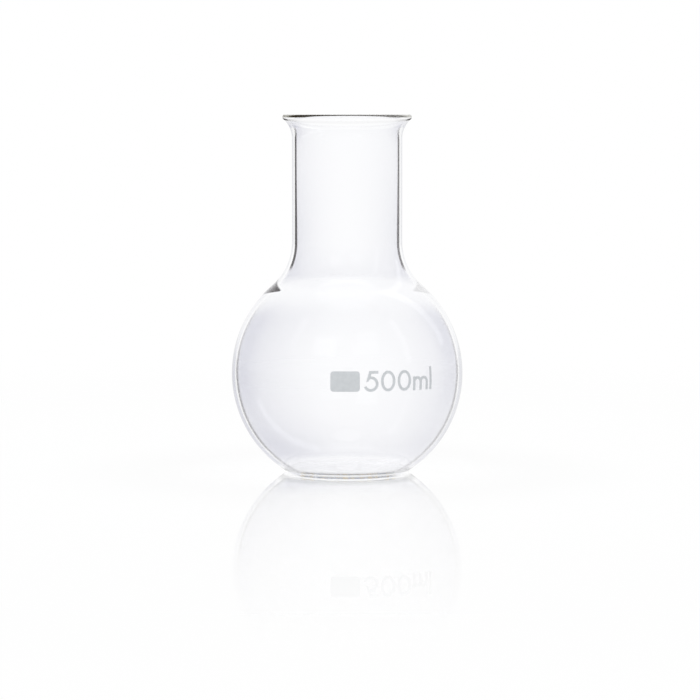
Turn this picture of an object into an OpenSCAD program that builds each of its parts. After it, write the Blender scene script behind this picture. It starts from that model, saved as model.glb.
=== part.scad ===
// Flat-bottomed boiling flask, 500 ml, wide neck with a flared lip.
// One vessel blown from clear borosilicate glass, with a write-on spot and the
// capacity figures fired onto the bulb in pale enamel. Millimetres, +Z up, and
// the origin is the middle of the foot on the bench. The print faces -Y.

/* [Bulb] */
// Outside diameter of the bulb
bulb_d = 105; // [95:1:115]
// Thickness of the bulb's wall
bulb_wall = 1.9; // [1.2:0.1:2.6]

/* [Foot] */
// Diameter of the flat that the flask stands on
foot_d = 52; // [46:1:60]
// Outside rounding from the flat up into the bulb
foot_edge_r = 4; // [2:0.5:6]
// Thickness of the glass in the foot
foot_t = 1.7; // [1.4:0.1:3.4]
// Inside rounding from the foot up into the bulb
foot_inside_r = 8; // [6:1:18]
// Width of the ring that touches the bench, around the pushed-up middle
foot_ring_w = 9; // [6:0.5:12]
// Rise of the pushed-up middle
kick_h = 0.8; // [0.4:0.1:1.4]

/* [Neck] */
// Outside diameter of the neck
neck_d = 50; // [44:0.5:54]
// Thickness of the neck's wall
neck_wall = 1.3; // [1:0.1:2.2]
// Outside radius of the sweep from the bulb into the neck
shoulder_r = 27; // [18:1:32]
// Height of the whole flask
flask_h = 162.5; // [156:0.5:175]

/* [Lip] */
// How far the flared lip stands out beyond the neck
lip_overhang = 4.3; // [3:0.1:6]
// Thickness of the fire-polished edge
lip_edge_t = 2.6; // [2:0.1:3]
// Outside radius of the flare below the lip
flare_r = 12; // [8:1:20]

/* [Print] */
// Thickness of the fired enamel
enamel_t = 0.1; // [0.05:0.05:0.3]
// Width of the write-on spot
spot_w = 13; // [10:0.5:16]
// Height of the write-on spot
spot_h = 9; // [7:0.5:11]
// Rounding of the spot's corners
spot_corner_r = 1.4; // [0.8:0.1:2.5]
// Distance along the bulb from its front line to the middle of the spot
spot_offset = -0.9; // [-2:0.1:2]
// Height of the print's middle above the middle of the bulb
print_rise = 0.5; // [-2:0.1:2]
// Height of the figures
figure_h = 9.2; // [8:0.1:10]
// Width of the pen stroke in the figures
stroke_w = 1.25; // [0.9:0.05:1.4]
// Clear distance between the spot and the figures
spot_gap = 1.9; // [1.2:0.1:2.6]
// Clear distance between neighbouring figures
mark_gap = 1.15; // [0.9:0.05:1.5]

/* [Hidden] */
$fn = 96;

bulb_r = bulb_d / 2;
bulb_inside_r = bulb_r - bulb_wall;
foot_r = foot_d / 2;
kick_r = foot_r - foot_ring_w;
neck_r = neck_d / 2;
neck_inside_r = neck_r - neck_wall;
shoulder_inside_r = shoulder_r + neck_wall;

// The foot's rounding touches the bench at foot_r and the bulb from inside,
// which sets how high the bulb's centre stands.
bulb_c = [0, foot_edge_r + sqrt((bulb_r - foot_edge_r) ^ 2 - foot_r ^ 2)];

// The lip is a round edge. The flare below it is one arc outside and one
// inside, each running from the straight neck to a tangent on that edge.
lip_edge_r = lip_edge_t / 2;
lip_c = [neck_r + lip_overhang - lip_edge_r, flask_h - lip_edge_r];
flare_c = arc_below(neck_r + flare_r, flare_r + lip_edge_r);
flare_inside_r = flare_r + neck_wall;
flare_inside_c = arc_below(neck_inside_r + flare_inside_r, flare_inside_r - lip_edge_r);

// The sphere through the rim of the pushed-up middle and its top.
kick_sphere_r = (kick_r ^ 2 + kick_h ^ 2) / (2 * kick_h);

// Round stretches of the glass are drawn to this accuracy, in steps no coarser
// than the angle.
chord_error = 0.015;
coarsest_step = 12;

// Sizes of the printed marks, drawn to the scale of the figures' height.
five_w = 0.7 * figure_h;
zero_w = 0.735 * figure_h;
letter_h = 0.67 * figure_h;
letter_m_w = 0.91 * figure_h;
letter_l_h = 1.1 * figure_h;
oval_step = 6;

// Where each mark starts, measured along the bulb from its front line.
five_start = spot_offset + spot_w / 2 + spot_gap;
zero_left_start = five_start + five_w + mark_gap;
zero_right_start = zero_left_start + zero_w + mark_gap;
letter_m_start = zero_right_start + zero_w + mark_gap;
letter_l_start = letter_m_start + letter_m_w + mark_gap;

// A unit vector, and a direction's angle from +X.
function heading(a) = [cos(a), sin(a)];
function bearing(v) = atan2(v.y, v.x);

// The centre of an arc at distance x from the axis that lies below the lip's
// edge, reach away from the middle of that edge.
function arc_below(x, reach) = [x, lip_c.y - sqrt(reach ^ 2 - (x - lip_c.x) ^ 2)];

// Points along an arc, both ends included.
function arc(c, r, from, to) =
    let (step = min(coarsest_step, 2 * acos(1 - chord_error / r)), n = ceil(abs(to - from) / step))
    [for (i = [0:n]) c + r * heading(from + (to - from) * i / n)];

// A list without its first point, where that point ends the stretch before.
function rest(points) = [for (i = [1:len(points) - 1]) points[i]];
function backwards(points) = [for (i = [len(points) - 1:-1:0]) points[i]];

// The low dome in the middle of the foot, from the axis out, standing on height h.
function kick_side(h) =
    arc([0, h + kick_h - kick_sphere_r], kick_sphere_r, 90, 90 - asin(kick_r / kick_sphere_r));

// The side of the bulb from the flat floor upwards: a rounded edge, the round
// wall, and the sweep into a straight throat.
function bulb_side(r, floor_h, edge_r, throat_r, sweep_r) =
    let (
        edge_h = floor_h + edge_r,
        edge_c = [sqrt((r - edge_r) ^ 2 - (bulb_c.y - edge_h) ^ 2), edge_h],
        sweep_x = throat_r + sweep_r,
        sweep_c = [sweep_x, bulb_c.y + sqrt((r + sweep_r) ^ 2 - sweep_x ^ 2)],
        edge_a = bearing(edge_c - bulb_c),
        sweep_a = bearing(sweep_c - bulb_c)
    )
    concat(
        arc(edge_c, edge_r, -90, edge_a),
        rest(arc(bulb_c, r, edge_a, sweep_a)),
        rest(arc(sweep_c, sweep_r, sweep_a + 180, 180))
    );

// The flare and the round lip, up the outside, over the edge and down the inside.
function lip_side() =
    let (inside_a = bearing(lip_c - flare_inside_c))
    concat(
        arc(flare_c, flare_r, 180, bearing(lip_c - flare_c)),
        rest(arc(lip_c, lip_edge_r, bearing(flare_c - lip_c), inside_a)),
        rest(arc(flare_inside_c, flare_inside_r, inside_a, 180))
    );

// The vessel: blown in one piece, so bulb, foot, neck and lip are one solid.
module flask_body() {
    outside = bulb_side(bulb_r, 0, foot_edge_r, neck_r, shoulder_r);
    inside = bulb_side(bulb_inside_r, foot_t, foot_inside_r, neck_inside_r, shoulder_inside_r);
    color([0.93, 0.95, 0.97, 0.4])
        rotate_extrude() polygon(concat(
            kick_side(0),
            outside,
            lip_side(),
            backwards(inside),
            backwards(kick_side(foot_t))
        ));
}

// Fires a flat outline onto the bulb, start millimetres along from the front
// line. The outline stands on the x axis, and its own width is w.
module enamel(start, w) {
    rotate([0, 0, (start + w / 2) / bulb_r * 180 / PI])
        color([0.79, 0.81, 0.82])
            translate([0, 0, bulb_c.y]) intersection() {
                difference() {
                    sphere(bulb_r + enamel_t);
                    sphere(bulb_r);
                }
                rotate([90, 0, 0]) linear_extrude(bulb_d)
                    translate([-w / 2, print_rise - figure_h / 2]) children();
            }
}

// A box with rounded corners, standing on the middle of the figures' height.
module rounded_box(w, h, r) {
    translate([0, (figure_h - h) / 2]) {
        translate([r, 0]) square([w - 2 * r, h]);
        translate([0, r]) square([w, h - 2 * r]);
        for (x = [r, w - r], y = [r, h - r]) translate([x, y]) circle(r);
    }
}

module oval(w, h) {
    polygon([for (a = [0:oval_step:360 - oval_step]) [w / 2 * cos(a), h / 2 * sin(a)]]);
}

// A five: a bar, a leaning stem and a round bowl open to the left.
module five(w, h) {
    bowl_r = w * 0.53;
    bowl_c = [w - bowl_r, bowl_r];
    open_a = 203;
    stem_top = [w * 0.36, h];
    stem_tip = [w * 0.14, h * 0.46];
    stem_foot = stem_tip + stroke_w * heading(20);
    translate([stem_top.x, h - stroke_w]) square([w - stem_top.x, stroke_w]);
    polygon([stem_top, stem_tip, stem_foot, stem_top + [stroke_w, -stroke_w / 2], stem_top + [stroke_w, 0]]);
    difference() {
        translate(bowl_c) circle(bowl_r);
        translate(bowl_c) circle(bowl_r - stroke_w);
        polygon([bowl_c, bowl_c + w * heading(open_a), [-w, h], stem_top, stem_tip]);
    }
}

module zero(w, h) {
    translate([w / 2, h / 2]) difference() {
        oval(w, h);
        oval(w - 2 * stroke_w, h - 2 * stroke_w);
    }
}

// An m: three stems, and two arches that spring between them.
module letter_m(w, h) {
    pitch = (w - stroke_w) / 2;
    arch_r = (pitch + stroke_w) / 2;
    arch_h = h - arch_r;
    square([stroke_w, h]);
    for (i = [0:1]) translate([i * pitch, 0]) {
        translate([pitch, 0]) square([stroke_w, arch_h]);
        translate([arch_r, arch_h]) intersection() {
            difference() {
                circle(arch_r);
                circle(arch_r - stroke_w);
            }
            translate([-arch_r, 0]) square([2 * arch_r, arch_r]);
        }
    }
}

module marking_spot() {
    enamel(spot_offset - spot_w / 2, spot_w) rounded_box(spot_w, spot_h, spot_corner_r);
}

module capacity_digit_five() {
    enamel(five_start, five_w) five(five_w, figure_h);
}

module capacity_digit_zero_left() {
    enamel(zero_left_start, zero_w) zero(zero_w, figure_h);
}

module capacity_digit_zero_right() {
    enamel(zero_right_start, zero_w) zero(zero_w, figure_h);
}

module capacity_letter_m() {
    enamel(letter_m_start, letter_m_w) letter_m(letter_m_w, letter_h);
}

module capacity_letter_l() {
    enamel(letter_l_start, stroke_w) square([stroke_w, letter_l_h]);
}

flask_body();
marking_spot();
capacity_digit_five();
capacity_digit_zero_left();
capacity_digit_zero_right();
capacity_letter_m();
capacity_letter_l();
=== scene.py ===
import math

import bpy
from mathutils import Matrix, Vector


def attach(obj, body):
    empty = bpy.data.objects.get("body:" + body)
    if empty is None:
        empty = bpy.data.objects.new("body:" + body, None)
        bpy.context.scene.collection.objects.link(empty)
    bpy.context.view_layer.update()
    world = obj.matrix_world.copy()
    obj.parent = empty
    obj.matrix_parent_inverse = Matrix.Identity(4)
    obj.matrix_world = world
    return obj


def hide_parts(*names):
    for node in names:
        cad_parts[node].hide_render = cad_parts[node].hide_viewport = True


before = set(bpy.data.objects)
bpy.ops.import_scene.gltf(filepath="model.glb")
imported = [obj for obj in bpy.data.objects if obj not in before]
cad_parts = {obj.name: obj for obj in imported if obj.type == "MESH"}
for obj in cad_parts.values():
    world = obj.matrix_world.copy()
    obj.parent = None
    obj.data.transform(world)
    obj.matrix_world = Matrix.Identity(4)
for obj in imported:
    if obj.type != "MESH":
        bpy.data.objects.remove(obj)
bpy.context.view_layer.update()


# The vessel: bulb, flat foot, wide neck and rolled-out lip, blown as one piece
# of clear borosilicate glass and fire-polished at the edge. The wall is 1.3 to
# 1.9 mm thick, and its inside face wanders a little, most of all in the foot.
MM = 0.001
BULB_R = 52.5 * MM
BULB_WALL = 1.9 * MM
FOOT_R = 26 * MM
FOOT_EDGE_R = 4 * MM
FOOT_T = 1.7 * MM
FOOT_INSIDE_R = 8 * MM
KICK_R = 17 * MM
KICK_H = 0.8 * MM
NECK_R = 25 * MM
NECK_WALL = 1.3 * MM
SHOULDER_R = 27 * MM
FLASK_H = 162.5 * MM
LIP_OVERHANG = 4.3 * MM
LIP_EDGE_R = 1.3 * MM
FLARE_R = 12 * MM

# Rows along each stretch of the wall, and columns round the axis. Points that
# fall together on the axis and along the seam are welded.
KICK_ROWS = 6
RING_ROWS = 3
EDGE_ROWS = 12
BULB_ROWS = 104
SWEEP_ROWS = 20
NECK_ROWS = 3
FLARE_ROWS = 12
LIP_ROWS = 16
COLUMNS = 288
WALL_WELD = 0.0002 * MM

# How far the wall wanders: on the outside, on the inside and in the foot.
WAVER_OUTSIDE = 0.01 * MM
WAVER_INSIDE = 0.03 * MM
WAVER_FOOT = 0.075 * MM
WAVER_SCALE = 55.0
WAVER_SEED = 3.7

# The section is drawn with the distance from the axis as x and the height as y.
# The foot's rounding touches the bench and the bulb, which sets the bulb's height.
bulb_middle = Vector((0, FOOT_EDGE_R + math.sqrt((BULB_R - FOOT_EDGE_R) ** 2 - FOOT_R ** 2)))
lip_middle = Vector((NECK_R + LIP_OVERHANG - LIP_EDGE_R, FLASK_H - LIP_EDGE_R))


def heading(angle):
    return Vector((math.cos(angle), math.sin(angle)))


def bearing(v):
    return math.atan2(v.y, v.x)


def arc(middle, r, start, end, rows):
    """Points along an arc of the section, without the first one."""
    return [middle + r * heading(start + (end - start) * i / rows) for i in range(1, rows + 1)]


def straight(start, end, rows):
    """Points along a straight stretch of the section, without the first one."""
    return [start.lerp(end, i / rows) for i in range(1, rows + 1)]


def below_lip(x, reach):
    """The middle of a flare at distance x from the axis, reach away from the lip's middle."""
    return Vector((x, lip_middle.y - math.sqrt(reach ** 2 - (x - lip_middle.x) ** 2)))


def kick_section(floor_h):
    """The pushed-up middle of the foot, from the axis out."""
    r = (KICK_R ** 2 + KICK_H ** 2) / (2 * KICK_H)
    middle = Vector((0, floor_h + KICK_H - r))
    top = math.pi / 2
    return [middle + r * heading(top)] + arc(middle, r, top, top - math.asin(KICK_R / r), KICK_ROWS)


def bulb_section(r, floor_h, edge_r, throat_r, sweep_r):
    """One face of the wall from the axis, over foot and bulb, up to the straight neck."""
    edge_h = floor_h + edge_r
    edge = Vector((math.sqrt((r - edge_r) ** 2 - (bulb_middle.y - edge_h) ** 2), edge_h))
    sweep_x = throat_r + sweep_r
    sweep = Vector((sweep_x, bulb_middle.y + math.sqrt((r + sweep_r) ** 2 - sweep_x ** 2)))
    edge_a = bearing(edge - bulb_middle)
    sweep_a = bearing(sweep - bulb_middle)
    return (
        kick_section(floor_h)
        + straight(Vector((KICK_R, floor_h)), Vector((edge.x, floor_h)), RING_ROWS)
        + arc(edge, edge_r, -math.pi / 2, edge_a, EDGE_ROWS)
        + arc(bulb_middle, r, edge_a, sweep_a, BULB_ROWS)
        + arc(sweep, sweep_r, sweep_a + math.pi, math.pi, SWEEP_ROWS)
    )


def wall_section():
    """Both faces of the wall: up the outside to the lip's crest, and down the inside from there."""
    inside_r = NECK_R - NECK_WALL
    flare_inside_r = FLARE_R + NECK_WALL
    flare = below_lip(NECK_R + FLARE_R, FLARE_R + LIP_EDGE_R)
    flare_inside = below_lip(inside_r + flare_inside_r, flare_inside_r - LIP_EDGE_R)
    outside = bulb_section(BULB_R, 0, FOOT_EDGE_R, NECK_R, SHOULDER_R)
    inside = bulb_section(BULB_R - BULB_WALL, FOOT_T, FOOT_INSIDE_R, inside_r, SHOULDER_R + NECK_WALL)
    outside += straight(outside[-1], Vector((NECK_R, flare.y)), NECK_ROWS)
    outside += arc(flare, FLARE_R, math.pi, bearing(lip_middle - flare), FLARE_ROWS)
    lip_end = bearing(lip_middle - flare_inside)
    lip = arc(lip_middle, LIP_EDGE_R, bearing(flare - lip_middle), lip_end, LIP_ROWS)
    down = arc(flare_inside, flare_inside_r, lip_end, math.pi, FLARE_ROWS)
    down += straight(Vector((inside_r, flare_inside.y)), inside[-1], NECK_ROWS)
    crest = LIP_ROWS // 2
    return outside + lip[:crest], lip[crest:] + down + inside[-2::-1]


class Wire:
    """An output socket in a node tree. Sums on wires add Math nodes."""

    def __init__(self, tree, socket=None):
        self.tree = tree
        self.socket = socket

    def add(self, kind, settings=None, values=None, out=0):
        """Adds a node: its settings first, then a value or wire for each socket."""
        node = self.tree.nodes.new(kind)
        for name, value in (settings or {}).items():
            setattr(node, name, value)
        for key, value in (values or {}).items():
            if isinstance(value, Wire):
                self.tree.links.new(value.socket, node.inputs[key])
            else:
                node.inputs[key].default_value = value
        return Wire(self.tree, node.outputs[out] if len(node.outputs) else None)

    def out(self, name):
        """Another output of the same node."""
        return Wire(self.tree, self.socket.node.outputs[name])

    def maths(self, operation, *others):
        """A Math node on this wire and the others."""
        values = dict(enumerate((self,) + others))
        return self.add("ShaderNodeMath", {"operation": operation}, values)

    def __add__(self, other):
        return self.maths("ADD", other)

    __radd__ = __add__

    def __mul__(self, other):
        return self.maths("MULTIPLY", other)

    __rmul__ = __mul__

    def __sub__(self, other):
        return self.maths("SUBTRACT", other)

    def __rsub__(self, other):
        return self.add("ShaderNodeMath", {"operation": "SUBTRACT"}, {0: other, 1: self})

    def __truediv__(self, other):
        return self.maths("DIVIDE", other)

    def __mod__(self, other):
        return self.maths("MODULO", other)

    def fade(self, start, end):
        """0 at start and 1 at end, with a soft run between."""
        values = {"Value": self, "From Min": start, "From Max": end}
        return self.add("ShaderNodeMapRange", {"interpolation_type": "SMOOTHSTEP"}, values)

    def band(self, out_low, in_low, in_high, out_high):
        """1 from in_low to in_high, and 0 beyond out_low and out_high."""
        return self.fade(out_low, in_low) * self.fade(out_high, in_high)


def turning_tree():
    """Turns a section, given as a row of points, round the Z axis into a closed wall."""
    tree = bpy.data.node_groups.new("vessel_turning", "GeometryNodeTree")
    face = tree.interface
    face.new_socket("Section", in_out="INPUT", socket_type="NodeSocketGeometry")
    face.new_socket("Columns", in_out="INPUT", socket_type="NodeSocketInt")
    face.new_socket("Waver Scale", in_out="INPUT", socket_type="NodeSocketFloat")
    face.new_socket("Waver Seed", in_out="INPUT", socket_type="NodeSocketFloat")
    face.new_socket("Weld", in_out="INPUT", socket_type="NodeSocketFloat")
    face.new_socket("Glass", in_out="INPUT", socket_type="NodeSocketMaterial")
    face.new_socket("Wall", in_out="OUTPUT", socket_type="NodeSocketGeometry")
    given = Wire(tree).add("NodeGroupInput", out="Section")
    columns = given.out("Columns")
    rows = given.add("GeometryNodeAttributeDomainSize", {"component": "MESH"}, {"Geometry": given})
    grid = given.add("GeometryNodeMeshGrid", None, {"Vertices X": columns + 1, "Vertices Y": rows})
    index = given.add("GeometryNodeInputIndex")
    row = index % rows
    turn = (index / rows).maths("FLOOR") * math.tau / columns

    def from_section(kind, value):
        values = {"Geometry": given, "Value": value, "Index": row}
        return given.add("GeometryNodeSampleIndex", {"data_type": kind, "domain": "POINT"}, values)

    place = from_section("FLOAT_VECTOR", given.add("GeometryNodeInputPosition"))
    reach = given.add("ShaderNodeSeparateXYZ", None, {"Vector": place}, out="X")
    turned = {"X": reach * turn.maths("COSINE"), "Y": reach * turn.maths("SINE"), "Z": reach.out("Z")}
    turned = given.add("ShaderNodeCombineXYZ", None, turned)
    wall = given.add("GeometryNodeSetPosition", None, {"Geometry": grid.out("Mesh"), "Position": turned})
    for name in ("waver", "inside"):
        stored = given.add("GeometryNodeInputNamedAttribute", {"data_type": "FLOAT"}, {"Name": name})
        values = {"Geometry": wall, "Name": name, "Value": from_section("FLOAT", stored)}
        wall = given.add("GeometryNodeStoreNamedAttribute", {"data_type": "FLOAT", "domain": "POINT"}, values)
    values = {"Geometry": wall, "Distance": given.out("Weld")}
    wall = given.add("GeometryNodeMergeByDistance", None, values)

    ripple = given.add(
        "ShaderNodeTexNoise",
        {"noise_dimensions": "4D"},
        {"W": given.out("Waver Seed"), "Scale": given.out("Waver Scale"), "Detail": 1.0},
        out="Fac",
    )
    waver = given.add("GeometryNodeInputNamedAttribute", {"data_type": "FLOAT"}, {"Name": "waver"})
    push = {0: given.add("GeometryNodeInputNormal"), "Scale": (ripple - 0.5) * 2 * waver}
    push = given.add("ShaderNodeVectorMath", {"operation": "SCALE"}, push)
    wall = given.add("GeometryNodeSetPosition", None, {"Geometry": wall, "Offset": push})
    wall = given.add("GeometryNodeSetShadeSmooth", None, {"Geometry": wall})
    wall = given.add("GeometryNodeRealizeInstances", None, {"Geometry": wall})
    wall = given.add("GeometryNodeSetMaterial", None, {"Geometry": wall, "Material": given.out("Glass")})
    given.add("NodeGroupOutput", None, {"Wall": wall})
    return tree


def grow(piece, tree, inputs):
    """Runs a tree on a piece and keeps the result as the piece's plain mesh."""
    bpy.context.scene.collection.objects.link(piece)
    modifier = piece.modifiers.new("growing", "NODES")
    modifier.node_group = tree
    for item in tree.interface.items_tree:
        if item.in_out == "INPUT" and item.name in inputs:
            modifier[item.identifier] = inputs[item.name]
    shape = piece.evaluated_get(bpy.context.evaluated_depsgraph_get())
    mesh = bpy.data.meshes.new_from_object(shape)
    piece.modifiers.clear()
    piece.data = mesh


def mm(*sizes):
    return [size * MM for size in sizes]


# The painted shade and glints of the glass go by height up the wall, by place from
# left to right and by slant: 0 where the eye meets a face square on, 1 where it only
# grazes it. Two numbers run from none of a look to all of it, and four are a band:
# none, all, all, none. Names in _Z, _X and _R are heights, places and distances from the axis.
NECK = mm(85, 105)
THROAT = mm(145, 105)
ABOVE_SHOULDER = mm(83.6, 86.8)
SHOULDER = mm(70, 79, 86.5, 88.5)
BELOW_SHOULDER = mm(84, 66)
LOWER_BULB = mm(72, 42)

# Towards the right, the painted shade and dark lines of the wall are fainter by this much: the right is
# painted as the more lit side.
SHADE_FAINTER_RIGHT = 0.3
SHADE_FAINTER_RIGHT_X = mm(-30, 45)

# A ray that has turned this often no longer shows the wall directly.
DIRECT_TURNS = 4.5


class Seen:
    """A point of the glass as a ray meets it: its place on the flask, its face and its slant.

    bore is 1 on the inside face of the wall, and within is 1 where a ray meets a face from
    the glass's own side.
    """

    def __init__(self, start):
        self.where = start.add("ShaderNodeTexCoord", out="Object")
        self.height = start.add("ShaderNodeSeparateXYZ", None, {"Vector": self.where}, out="Z")
        self.side = self.height.out("X")
        self.slant = start.add("ShaderNodeLayerWeight", None, {"Blend": 0.5}, out="Facing")
        self.bore = start.add("ShaderNodeAttribute", {"attribute_name": "inside"}, out="Fac")
        self.within = start.add("ShaderNodeNewGeometry", out="Backfacing")
        self.outside = (1 - self.bore) * (1 - self.within)
        self.neck = self.height.fade(*NECK)
        self.above_shoulder = self.height.fade(*ABOVE_SHOULDER)
        self.throat = self.above_shoulder * self.height.fade(*THROAT)
        self.shoulder = self.height.band(*SHOULDER)
        self.below_shoulder = self.height.fade(*BELOW_SHOULDER)
        self.lower_bulb = self.height.fade(*LOWER_BULB)
        # 1 on the left, less towards the right: how strong the painted shade is by side.
        self.shade_by_side = 1 - self.side.fade(*SHADE_FAINTER_RIGHT_X) * SHADE_FAINTER_RIGHT
        self.shadow = start.add("ShaderNodeLightPath", out="Is Shadow Ray")
        self.through = self.shadow.out("Is Transmission Ray")
        self.turns = self.shadow.out("Ray Depth")
        mirrored = self.shadow.out("Is Glossy Ray") * (1 - self.through)
        self.direct = (1 - mirrored) * self.turns.maths("LESS_THAN", DIRECT_TURNS)


# Painted shade: the inside face is tinted towards a dark blue-grey the more it
# is seen edge on. The plain amount holds all over but on the shoulder, and the
# others add to it. The bulb has less in the middle.
CLEAR_TONE = (0.991, 0.9925, 1.0, 1)
GRAZE_SHADE_TONE = (0.09, 0.1, 0.27, 1)
GRAZE_SHADE = 0.125
GRAZE_SHADE_NECK = 0.2
GRAZE_SHADE_THROAT = 0.2
GRAZE_SHADE_BULB = 0.46
GRAZE_SHADE_FOOT = 0.12
GRAZE_SHADE_FOOT_Z = mm(25, 10)
GRAZE_SHADE_Z = mm(2, 6, 159, 160)
GRAZE_SHADE_LEFT = 0.22
GRAZE_SHADE_MIDDLE = 0.46
GRAZE_SHADE_MIDDLE_X = mm(-22, 2)
GRAZE_SHADE_RIGHT = 0.4
GRAZE_SHADE_RIGHT_X = mm(20, 40)
GRAZE_SHADE_MIRRORED = 0.1

# More painted shade: a veil of it in the throat, the lens of the shoulder, the flare
# under the lip, and the bend of the wall into the foot.
THROAT_SHADE = 0.018
THROAT_SHADE_Z = mm(108, 95)
LENS = 0.13
LENS_SLANT = 0.25
FLARE = 0.3
FLARE_Z = mm(145, 157)
FLARE_SLANT = (0.25, 0.8)
BEND = 0.06
BEND_Z = mm(2.8, 3.6, 4.2, 5.2)

# Painted shade on the last stretch towards the edge, with a tail on the bulb.
EDGE = 0.11
EDGE_SLANT = (0.36, 0.62)
EDGE_NECK_SLANT = 0.15
EDGE_Z = mm(18, 40)
EDGE_RIGHT = 0.8
EDGE_RIGHT_Z = mm(45, 55)
TAIL = 0.08
TAIL_SLANT = (0.58, 0.8)


def inside_painted_shade(seen):
    """How much painted shade the inside face takes, from 0, clear, to 1, all of the dark shade tone."""
    height, side, slant = seen.height, seen.side, seen.slant
    painted_shade = seen.above_shoulder * GRAZE_SHADE_NECK + seen.throat * GRAZE_SHADE_THROAT + seen.below_shoulder * GRAZE_SHADE_BULB
    painted_shade = painted_shade + (1 - seen.shoulder) * GRAZE_SHADE + height.fade(*GRAZE_SHADE_FOOT_Z) * GRAZE_SHADE_FOOT
    right = side.fade(*GRAZE_SHADE_RIGHT_X)
    uneven = GRAZE_SHADE_LEFT - side.fade(*GRAZE_SHADE_MIDDLE_X) * GRAZE_SHADE_MIDDLE + right * GRAZE_SHADE_RIGHT
    painted_shade = slant * painted_shade * (1 + seen.below_shoulder * uneven)
    painted_shade = painted_shade + seen.above_shoulder * height.fade(*THROAT_SHADE_Z) * THROAT_SHADE
    painted_shade = painted_shade + (slant - LENS_SLANT).maths("MAXIMUM", 0) * seen.shoulder * LENS
    painted_shade = painted_shade + height.fade(*FLARE_Z) * slant.fade(*FLARE_SLANT) * FLARE
    edge = (slant - seen.neck * EDGE_NECK_SLANT).fade(*EDGE_SLANT) * EDGE
    edge = edge + slant.fade(*TAIL_SLANT) * (1 - seen.neck) * TAIL
    edge = edge * (1 + right * height.fade(*EDGE_RIGHT_Z) * EDGE_RIGHT)
    edge = edge * (1 - seen.shoulder) * height.fade(*EDGE_Z)
    painted_shade = (painted_shade * seen.shade_by_side + edge) * height.band(*GRAZE_SHADE_Z)
    painted_shade = painted_shade + height.band(*BEND_Z) * (1 - seen.within) * BEND
    return painted_shade * (seen.direct * (1 - GRAZE_SHADE_MIRRORED) + GRAZE_SHADE_MIRRORED) * seen.bore


# Painted shade on the outside face: a darker strip where the wall is seen edge on,
# and in the flare right under the lip.
STRIP = 0.25
STRIP_LOW = 0.4
STRIP_NECK = 0.12
STRIP_SLANT = (0.73, 0.8)
STRIP_Z = mm(2, 6, 156.5, 158.5)
FLARE_OUT = 0.4
FLARE_OUT_Z = mm(156, 157, 159, 159.6)
FLARE_OUT_SLANT = (0.3, 0.7)


def outside_painted_shade(seen):
    strip = seen.neck * STRIP_NECK + seen.lower_bulb * STRIP_LOW + STRIP
    strip = strip * seen.slant.fade(*STRIP_SLANT) * seen.height.band(*STRIP_Z)
    flare = seen.height.band(*FLARE_OUT_Z) * seen.slant.fade(*FLARE_OUT_SLANT) * FLARE_OUT
    return (strip + flare) * seen.shade_by_side * seen.outside


# The contour: a fine painted dark line of shade at the edge of the inside face, seen
# across the hollow and seen within the wall. It is strongest on the neck.
EDGE_TONE = (0.05, 0.04, 0.045, 1)
ACROSS_SLANT = (0.81, 0.88)
ACROSS_NECK_SLANT = -0.1
WITHIN_SLANT = (0.25, 0.258, 0.262, 0.268)
WITHIN_NECK_SLANT = -0.007
WITHIN_THROAT_SLANT = -0.009
WITHIN_Z = mm(155.5, 151.5)
LINE_NECK = 1.0
LINE_NECK_Z = mm(90.5, 94.5)
LINE_BULB = 0.2
LINE_BULB_Z = mm(80, 68)
LINE_LOW = 0.3
LINE_LESS_AT_FOOT = 0.42
LINE_FOOT_Z = mm(18, 6)
LINE_Z = mm(2, 5, 156.5, 158.5)


def painted_contour_shade(seen):
    height, slant = seen.height, seen.slant
    shift = seen.neck * ACROSS_NECK_SLANT
    across = slant.fade(shift + ACROSS_SLANT[0], shift + ACROSS_SLANT[1]) * (1 - seen.within)
    shift = seen.neck * WITHIN_NECK_SLANT + seen.throat * WITHIN_THROAT_SLANT
    within = slant.band(shift + WITHIN_SLANT[0], shift + WITHIN_SLANT[1], *WITHIN_SLANT[2:])
    within = within * seen.within * height.fade(*WITHIN_Z)
    depth = height.fade(*LINE_NECK_Z) * LINE_NECK + height.fade(*LINE_BULB_Z) * LINE_BULB
    depth = (depth + seen.lower_bulb * LINE_LOW) * (1 - height.fade(*LINE_FOOT_Z) * LINE_LESS_AT_FOOT)
    return (across + within) * depth * height.band(*LINE_Z) * seen.shade_by_side * seen.bore * seen.direct


# Under the lip runs a faint painted line of shade that climbs and darkens towards its two ends.
LIP_LINE_Z = mm(157.7, 158.1, 158.7, 159.1)
LIP_LINE_CLIMB = 2.1 * MM
LIP_FRONT = 0.05
LIP_SIDE = 0.2
LIP_SIDE_SLANT = (0.48, 0.66)
LIP_END = 0.65
LIP_END_SLANT = (0.7, 0.82)


def lip_line(seen):
    slant = seen.slant
    depth = slant.fade(*LIP_SIDE_SLANT) * LIP_SIDE + slant.fade(*LIP_END_SLANT) * LIP_END + LIP_FRONT
    return (seen.height - slant * LIP_LINE_CLIMB).band(*LIP_LINE_Z) * depth * seen.outside


# Where the bulb runs into the shoulder, the wall bends the other way, and a dark
# wedge of shade is painted at the edge, deep on the left and faint on the right. Its
# borders spread with the slant, the lower one down and the upper one up.
WEDGE = 0.88
WEDGE_FAINT = 0.2
WEDGE_X = mm(20, -20)
WEDGE_LOWER_Z = mm(87.5, 87.9)
WEDGE_DOWN = 7.4 * MM
WEDGE_UPPER_Z = mm(75.9, 75.2)
WEDGE_UP = 13.5 * MM
WEDGE_SLANT = (0.595, 0.615)
WEDGE_TAPER = 0.8
WEDGE_TAPER_SLANT = (0.65, 1.0)


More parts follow.
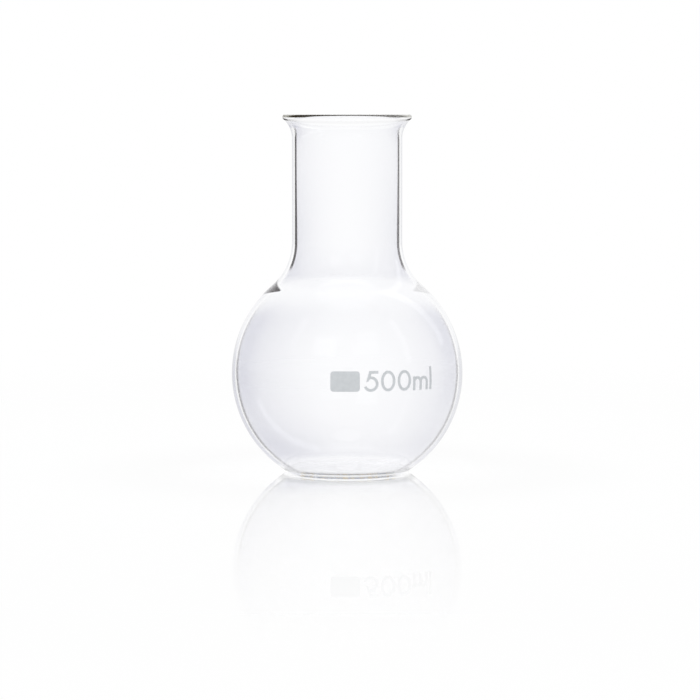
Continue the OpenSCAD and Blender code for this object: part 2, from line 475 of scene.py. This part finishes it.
def shoulder_wedge(seen):
    height, slant = seen.height, seen.slant
    wedge = (height + slant * WEDGE_DOWN).fade(*WEDGE_LOWER_Z)
    wedge = wedge * (height - slant * WEDGE_UP).fade(*WEDGE_UPPER_Z)
    wedge = wedge * slant.fade(*WEDGE_SLANT) * (1 - slant.fade(*WEDGE_TAPER_SLANT) * WEDGE_TAPER)
    depth = seen.side.fade(*WEDGE_X) * (WEDGE - WEDGE_FAINT) + WEDGE_FAINT
    return wedge * depth * seen.outside


# The round edge of the lip ends in a painted dark line of shade, broader and more
# olive towards its sides. Through the glass of the lip it is hardly seen.
RIM_TONE = (0.05, 0.042, 0.03, 1)
RIM_OLIVE = (0.2, 0.19, 0.11, 1)
RIM_OLIVE_SLANT = (0.45, 0.75)
RIM_FRONT_Z = 162.25 * MM
RIM_DROP = 4.5 * MM
RIM_LOWEST_Z = 161.1 * MM
RIM_SOFT = mm(0.15, 0.05)
RIM_TOP_Z = mm(162.15, 162.35)
RIM_LESS_AT_END = 0.4
RIM_END_SLANT = (0.5, 0.72)
RIM_THROUGH = 0.05


def rim_line(seen):
    slant = seen.slant
    low = (RIM_FRONT_Z - slant * RIM_DROP).maths("MAXIMUM", RIM_LOWEST_Z)
    rim = seen.height.band(low - RIM_SOFT[0], low + RIM_SOFT[1], *RIM_TOP_Z)
    rim = rim * (1 - slant.fade(*RIM_END_SLANT) * RIM_LESS_AT_END)
    return rim * seen.shade_by_side * (1 - seen.within) * (1 - seen.through * (1 - RIM_THROUGH))


# The rounded edge of the foot is painted dark with shade where it turns under, and
# where it meets the bench it takes painted glints of blue and gold, the colours that it splits from the
# light.
FOOT_TONE = (0.06, 0.07, 0.07, 1)
FOOT_ARC = 0.23
FOOT_ARC_Z = mm(0.8, 1.4, 1.8, 3.6)
SPLIT_GLINT_BLUE = (0.08, 0.16, 0.34, 1)
SPLIT_GLINT_GOLD = (0.62, 0.42, 0.04, 1)
FLECK_CHANGE = (0.48, 0.56)
FLECK_SCALE = 420.0
FLECK_DETAIL = 1.0
FLECK_SPREAD = (0.2, 0.45)
FLECK = 0.7
FLECK_Z = mm(0.6, 0.2)
FLECK_R = mm(25.5, 26.2)
FLECK_X = mm(24.5, 18)
FLECK_SLANT = (0.92, 0.77)


def noise(where, scale, detail):
    values = {"Vector": where, "Scale": scale, "Detail": detail}
    return where.add("ShaderNodeTexNoise", None, values, out="Fac")


def foot_arc(seen):
    return seen.height.band(*FOOT_ARC_Z) * FOOT_ARC * seen.outside


def foot_split_glints(seen):
    """How much of the foot's edge takes a painted glint of split light, and how much of a glint is gold."""
    flat = seen.where.add("ShaderNodeVectorMath", {"operation": "MULTIPLY"}, {0: seen.where, 1: (1, 1, 0)})
    reach = flat.add("ShaderNodeVectorMath", {"operation": "LENGTH"}, {0: flat}, out="Value")
    fleck = noise(seen.where, FLECK_SCALE, FLECK_DETAIL)
    amount = fleck.fade(*FLECK_SPREAD) * FLECK * seen.height.fade(*FLECK_Z) * reach.fade(*FLECK_R)
    amount = amount * seen.slant.fade(*FLECK_SLANT) * seen.side.maths("ABSOLUTE").fade(*FLECK_X)
    return amount * seen.outside, fleck.fade(*FLECK_CHANGE)


# The glass itself is smeared here and there. A ray that stays caught in the wall for
# many turns ends on a painted pale glow, an emission in place of the light it would bring out, and light that
# passes loses a little.
GLASS_IOR = 1.473
SMEAR_SCALE = 60.0
SMEAR_DETAIL = 5.0
SMEAR_SPREAD = (0.5, 0.8)
SMEAR_ROUGHNESS = 0.03
CAUGHT_TURNS = 6
CAUGHT_GLOW_TONE = (0.97, 0.97, 0.97, 1)
SHADE_TONE = (0.93, 0.94, 0.95, 1)


def new_material(name):
    """An empty material, and a wire to start its nodes from."""
    material = bpy.data.materials.new(name)
    material.use_nodes = True
    material.node_tree.nodes.clear()
    return material, Wire(material.node_tree)


def tint(share, first, second):
    """The first tone, going over to the second by share."""
    values = {"Factor": share, "A": first, "B": second}
    return share.add("ShaderNodeMix", {"data_type": "RGBA"}, values, out="Result")


def matt(start, tone):
    return start.add("ShaderNodeBsdfDiffuse", None, {"Color": tone})


def laid_on(body, share, coat):
    """A shader with another one laid on it by share."""
    return body.add("ShaderNodeMixShader", None, {0: share, 1: body, 2: coat})


def clear_glass():
    material, start = new_material("clear_glass")
    seen = Seen(start)
    smear = noise(seen.where, SMEAR_SCALE, SMEAR_DETAIL).fade(*SMEAR_SPREAD)
    finish = {"IOR": GLASS_IOR, "Transmission Weight": 1.0, "Roughness": smear * SMEAR_ROUGHNESS}
    # Painted shade: the glass's colour goes towards a dark blue-grey where its faces are seen edge on.
    finish["Base Color"] = tint(inside_painted_shade(seen) + outside_painted_shade(seen), CLEAR_TONE, GRAZE_SHADE_TONE)
    body = start.add("ShaderNodeBsdfPrincipled", None, finish)
    # Painted shade: dark lines and a dark wedge laid on as a dark matt.
    lines = painted_contour_shade(seen) + lip_line(seen) + shoulder_wedge(seen)
    body = laid_on(body, lines, matt(start, EDGE_TONE))
    # Painted shade on the rim: dark, going olive towards the sides.
    olive = seen.slant.fade(*RIM_OLIVE_SLANT)
    rim = laid_on(matt(start, RIM_TONE), olive, matt(start, RIM_OLIVE))
    body = laid_on(body, rim_line(seen), rim)
    # Painted light: glints of blue and gold on the foot's edge.
    glint_share, gold = foot_split_glints(seen)
    split_glints = laid_on(matt(start, SPLIT_GLINT_BLUE), gold, matt(start, SPLIT_GLINT_GOLD))
    body = laid_on(body, glint_share, split_glints)
    # Painted shade: the dark arc where the foot's edge turns under.
    body = laid_on(body, foot_arc(seen), matt(start, FOOT_TONE))
    # Painted glow: an emission that ends the rays caught in the wall.
    caught_glow = start.add("ShaderNodeEmission", None, {"Color": CAUGHT_GLOW_TONE})
    body = laid_on(body, seen.turns.maths("GREATER_THAN", CAUGHT_TURNS), caught_glow)
    passing = start.add("ShaderNodeBsdfTransparent", None, {"Color": SHADE_TONE})
    start.add("ShaderNodeOutputMaterial", None, {"Surface": laid_on(body, seen.shadow, passing)})
    return material


outer_face, inner_face = wall_section()
section = outer_face + inner_face
section_mesh = bpy.data.meshes.new("vessel_section")
section_mesh.from_pydata([(p.x, 0, p.y) for p in section], [], [])
waver = section_mesh.attributes.new("waver", "FLOAT", "POINT")
inside = section_mesh.attributes.new("inside", "FLOAT", "POINT")
for i, p in enumerate(section):
    is_inside = i >= len(outer_face)
    low = max(0.0, 1 - p.y / (FOOT_T + FOOT_INSIDE_R))
    inside.data[i].value = float(is_inside)
    waver.data[i].value = WAVER_INSIDE + (WAVER_FOOT - WAVER_INSIDE) * low if is_inside else WAVER_OUTSIDE
turned = {
    "Columns": COLUMNS,
    "Waver Scale": WAVER_SCALE,
    "Waver Seed": WAVER_SEED,
    "Weld": WALL_WELD,
    "Glass": clear_glass(),
}
vessel = bpy.data.objects.new("vessel", section_mesh)
grow(vessel, turning_tree(), turned)
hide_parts("flask_body")
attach(vessel, "root")


# The print: a write-on spot and the capacity figures, screened onto the bulb in
# pale enamel and fired on. It is a hair thick, matt and faintly grainy. Each
# mark takes its outline from its solid and lies close on the round wall.
MARKS = {
    "enamel_spot": "marking_spot",
    "enamel_five": "capacity_digit_five",
    "enamel_zero_left": "capacity_digit_zero_left",
    "enamel_zero_right": "capacity_digit_zero_right",
    "enamel_m": "capacity_letter_m",
    "enamel_l": "capacity_letter_l",
}
ENAMEL_T = 0.08 * MM
SOLID_T = 0.1 * MM
MARK_WELD = 0.001 * MM
MARK_CUTS = 2
SHARP = math.radians(40)
ENAMEL_PALE = (0.73, 0.76, 0.785, 1)
ENAMEL_GREY = (0.675, 0.705, 0.73, 1)
CLOUD_SCALE = 420.0
CLOUD_DETAIL = 3.0
CLOUD_SPREAD = (0.3, 0.75)
GRAIN_SCALE = 3800.0
GRAIN_DETAIL = 2.0
GRAIN_H = 0.03 * MM
GRAIN_BUMP = 0.15
ENAMEL_ROUGHNESS = 0.5
GRAIN_ROUGHNESS = 0.15


def fired_enamel():
    material, start = new_material("fired_enamel")
    where = start.add("ShaderNodeTexCoord", out="Object")
    cloud = noise(where, CLOUD_SCALE, CLOUD_DETAIL)
    grain = noise(where, GRAIN_SCALE, GRAIN_DETAIL)
    bump = {"Height": grain, "Strength": GRAIN_BUMP, "Distance": GRAIN_H}
    finish = {
        "Base Color": tint(cloud.fade(*CLOUD_SPREAD), ENAMEL_PALE, ENAMEL_GREY),
        "Roughness": grain * GRAIN_ROUGHNESS + ENAMEL_ROUGHNESS,
        "Normal": start.add("ShaderNodeBump", None, bump),
    }
    enamel = start.add("ShaderNodeBsdfPrincipled", None, finish)
    start.add("ShaderNodeOutputMaterial", None, {"Surface": enamel})
    return material


def laying_tree():
    """Lays a mark on the bulb: its back on the glass, its face one thickness out."""
    tree = bpy.data.node_groups.new("mark_laying", "GeometryNodeTree")
    face = tree.interface
    face.new_socket("Mark", in_out="INPUT", socket_type="NodeSocketGeometry")
    face.new_socket("Bulb Middle", in_out="INPUT", socket_type="NodeSocketVector")
    face.new_socket("Bulb Radius", in_out="INPUT", socket_type="NodeSocketFloat")
    face.new_socket("Solid Thickness", in_out="INPUT", socket_type="NodeSocketFloat")
    face.new_socket("Thickness", in_out="INPUT", socket_type="NodeSocketFloat")
    face.new_socket("Weld", in_out="INPUT", socket_type="NodeSocketFloat")
    face.new_socket("Cuts", in_out="INPUT", socket_type="NodeSocketInt")
    face.new_socket("Enamel", in_out="INPUT", socket_type="NodeSocketMaterial")
    face.new_socket("Laid", in_out="OUTPUT", socket_type="NodeSocketGeometry")
    given = Wire(tree).add("NodeGroupInput", out="Mark")
    middle = given.out("Bulb Middle")
    radius = given.out("Bulb Radius")
    place = given.add("GeometryNodeInputPosition")
    out = given.add("ShaderNodeVectorMath", {"operation": "SUBTRACT"}, {0: place, 1: middle})
    away = given.add("ShaderNodeVectorMath", {"operation": "LENGTH"}, {0: out}, out="Value")
    values = {"Geometry": given, "Distance": given.out("Weld")}
    mark = given.add("GeometryNodeMergeByDistance", None, values)
    on_face = ((away - radius) / given.out("Solid Thickness")).maths("ROUND")
    lift = {"Geometry": mark, "Name": "lift", "Value": on_face}
    mark = given.add("GeometryNodeStoreNamedAttribute", {"data_type": "FLOAT", "domain": "POINT"}, lift)
    mark = given.add("GeometryNodeSubdivideMesh", None, {"Mesh": mark, "Level": given.out("Cuts")})
    lift = given.add("GeometryNodeInputNamedAttribute", {"data_type": "FLOAT"}, {"Name": "lift"})
    reach = {0: given.add("ShaderNodeVectorMath", {"operation": "NORMALIZE"}, {0: out})}
    reach["Scale"] = lift * given.out("Thickness") + radius
    laid = given.add("ShaderNodeVectorMath", {"operation": "SCALE"}, reach)
    laid = given.add("ShaderNodeVectorMath", {"operation": "ADD"}, {0: laid, 1: middle})
    mark = given.add("GeometryNodeSetPosition", None, {"Geometry": mark, "Position": laid})
    mark = given.add("GeometryNodeSetShadeSmooth", None, {"Geometry": mark})
    corner = given.add("GeometryNodeInputMeshEdgeAngle").maths("GREATER_THAN", SHARP)
    values = {"Geometry": mark, "Selection": corner, "Shade Smooth": False}
    mark = given.add("GeometryNodeSetShadeSmooth", {"domain": "EDGE"}, values)
    mark = given.add("GeometryNodeRealizeInstances", None, {"Geometry": mark})
    mark = given.add("GeometryNodeSetMaterial", None, {"Geometry": mark, "Material": given.out("Enamel")})
    given.add("NodeGroupOutput", None, {"Laid": mark})
    return tree


on_bulb = {
    "Bulb Middle": (0, 0, bulb_middle.y),
    "Bulb Radius": BULB_R,
    "Solid Thickness": SOLID_T,
    "Thickness": ENAMEL_T,
    "Weld": MARK_WELD,
    "Cuts": MARK_CUTS,
    "Enamel": fired_enamel(),
}
laying = laying_tree()
for name, node in MARKS.items():
    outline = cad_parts[node].data.copy()
    outline.materials.clear()
    mark = bpy.data.objects.new(name, outline)
    grow(mark, laying, on_bulb)
    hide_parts(node)
    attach(mark, "root")


# The camera stands level with the lip, so that the lip shows as a line, and looks
# slightly down at the bulb through a long lens.
CAMERA_AT = Vector((0, -1.42, 0.163))
CAMERA_AIM = Vector((0.0013, 0, 0.0554))
CAMERA_LENS = 160.8
CAMERA_SENSOR = 36

camera = bpy.data.objects.new("camera", bpy.data.cameras.new("camera"))
camera.location = CAMERA_AT
camera.rotation_mode = "QUATERNION"
camera.rotation_quaternion = (CAMERA_AIM - CAMERA_AT).to_track_quat("-Z", "Y")
camera.data.lens = CAMERA_LENS
camera.data.sensor_width = CAMERA_SENSOR
bpy.context.scene.collection.objects.link(camera)
bpy.context.scene.camera = camera
bpy.context.view_layer.update()


# The floor: a wide white glossy sheet. Its gloss dies away from the object, and
# near the object part of its white is lit by the lamps, so that it takes a soft
# shadow. Right around the foot both are stronger.
FLOOR_R = 20.0
FLOOR_DROP = 0.05 * MM
FLOOR_WHITE = (0.82, 0.82, 0.82, 1)
FLOOR_LIT = 0.02
FLOOR_LIT_R = mm(700, 300)
CONTACT_LIT = 0.1
CONTACT_LIT_R = mm(24, 30, 50, 160)
FLOOR_GLOSS = 0.33
FLOOR_GLOSS_R = mm(520, 0)
CONTACT_GLOSS = 0.5
CONTACT_GLOSS_R = mm(22, 27, 30, 100)
GLOSS_TONE = (1, 1, 1, 1)
GLOSS_ROUGHNESS = 0.008

# How white the sheet is in mirror images, and in all that isn't looked at.
GLOW_MIRRORED = 0.8
GLOW_UNSEEN = 0.6


def floor_sheet():
    material, start = new_material("floor_sheet")
    where = start.add("ShaderNodeTexCoord", out="Object")
    away = start.add("ShaderNodeVectorMath", {"operation": "LENGTH"}, {0: where}, out="Value")
    looked_at = start.add("ShaderNodeLightPath", out="Is Camera Ray")
    through = looked_at.out("Is Transmission Ray")
    mirrored = looked_at.out("Is Glossy Ray") * (1 - through) * GLOW_MIRRORED
    glow = looked_at.maths("MAXIMUM", through).maths("MAXIMUM", mirrored).maths("MAXIMUM", GLOW_UNSEEN)
    white = start.add("ShaderNodeEmission", None, {"Strength": glow})
    lit = away.fade(*FLOOR_LIT_R) * FLOOR_LIT + away.band(*CONTACT_LIT_R) * CONTACT_LIT
    sheet = laid_on(white, lit, matt(start, FLOOR_WHITE))
    polish = away.fade(*FLOOR_GLOSS_R) * FLOOR_GLOSS + away.band(*CONTACT_GLOSS_R) * CONTACT_GLOSS
    gloss = start.add("ShaderNodeBsdfGlossy", None, {"Color": GLOSS_TONE, "Roughness": GLOSS_ROUGHNESS})
    start.add("ShaderNodeOutputMaterial", None, {"Surface": laid_on(sheet, polish, gloss)})
    return material


corners = [(-FLOOR_R, -FLOOR_R), (FLOOR_R, -FLOOR_R), (FLOOR_R, FLOOR_R), (-FLOOR_R, FLOOR_R)]
floor_mesh = bpy.data.meshes.new("floor")
floor_mesh.from_pydata([(x, y, -FLOOR_DROP) for x, y in corners], [], [(0, 1, 2, 3)])
floor_mesh.materials.append(floor_sheet())
floor = bpy.data.objects.new("floor", floor_mesh)
bpy.context.scene.collection.objects.link(floor)


# The studio: white all round. What the glass mirrors of it is brighter overhead and
# a little dimmer in front, and matt surfaces take most of their light from the front.
ROOM_WHITE = (1, 1, 1, 1)
OVERHEAD = 0.6
OVERHEAD_Z = (0.9, 0.985)
FRONT_DIM = 0.05
FRONT_DIM_Y = (0.1, -0.35)
ROUND_LIGHT = 0.38
FRONT_LIGHT = 0.93

world = bpy.data.worlds.new("studio")
world.use_nodes = True
world.node_tree.nodes.clear()
bpy.context.scene.world = world
start = Wire(world.node_tree)
way = start.add("ShaderNodeTexCoord", out="Generated")
up = start.add("ShaderNodeSeparateXYZ", None, {"Vector": way}, out="Z")
back = up.out("Y")
path = start.add("ShaderNodeLightPath", out="Is Glossy Ray")
mirrored = path * (1 - path.out("Is Transmission Ray"))
uneven = up.fade(*OVERHEAD_Z) * OVERHEAD - back.fade(*FRONT_DIM_Y) * FRONT_DIM
on_matt = (back * -1).maths("MAXIMUM", 0) * FRONT_LIGHT + ROUND_LIGHT - 1
strength = 1 + mirrored * uneven + path.out("Is Diffuse Ray") * on_matt
room = start.add("ShaderNodeBackground", None, {"Color": ROOM_WHITE, "Strength": strength})
start.add("ShaderNodeOutputWorld", None, {"Surface": room})

# Soft lamps stand round the bulb and go round with the camera: two windows in front,
# and two tall strips on the right. The front strip is never seen through the glass,
# and the one further round is seen only through it.
LAMP_AIM = Vector((0, 0, 0.06))
LAMP_AWAY = 1.1


def softbox(name, azimuth, elevation, size, power):
    """A lamp so many degrees to the right of the camera's front, and so many up."""
    lamp = bpy.data.lights.new(name, "AREA")
    lamp.shape = "RECTANGLE"
    lamp.size, lamp.size_y = size
    lamp.energy = power
    a, e = math.radians(azimuth), math.radians(elevation)
    outward = Vector((math.sin(a) * math.cos(e), -math.cos(a) * math.cos(e), math.sin(e)))
    box = bpy.data.objects.new(name, lamp)
    box.location = LAMP_AIM + outward * LAMP_AWAY
    box.rotation_mode = "QUATERNION"
    box.rotation_quaternion = (-outward).to_track_quat("-Z", "Y")
    box.parent = camera
    box.matrix_parent_inverse = camera.matrix_world.inverted()
    box.visible_camera = False
    bpy.context.scene.collection.objects.link(box)
    return box


softbox("window_left", azimuth=-24.5, elevation=28.6, size=(0.43, 0.34), power=0.13)
softbox("window_right", azimuth=19.5, elevation=27, size=(0.49, 0.22), power=0.06)
strip_right = softbox("strip_right", azimuth=64, elevation=29, size=(0.12, 0.78), power=0.17)
strip_right.visible_transmission = False
strip_side = softbox("strip_side", azimuth=121, elevation=39, size=(0.18, 1.15), power=0.45)
strip_side.visible_glossy = False
strip_side.visible_diffuse = False

bpy.context.scene.view_settings.view_transform = "Standard"

# Light goes to and fro in thick glass many times before it comes out.
cycles = bpy.context.scene.cycles
cycles.max_bounces = 32
cycles.glossy_bounces = 24
cycles.transmission_bounces = 24
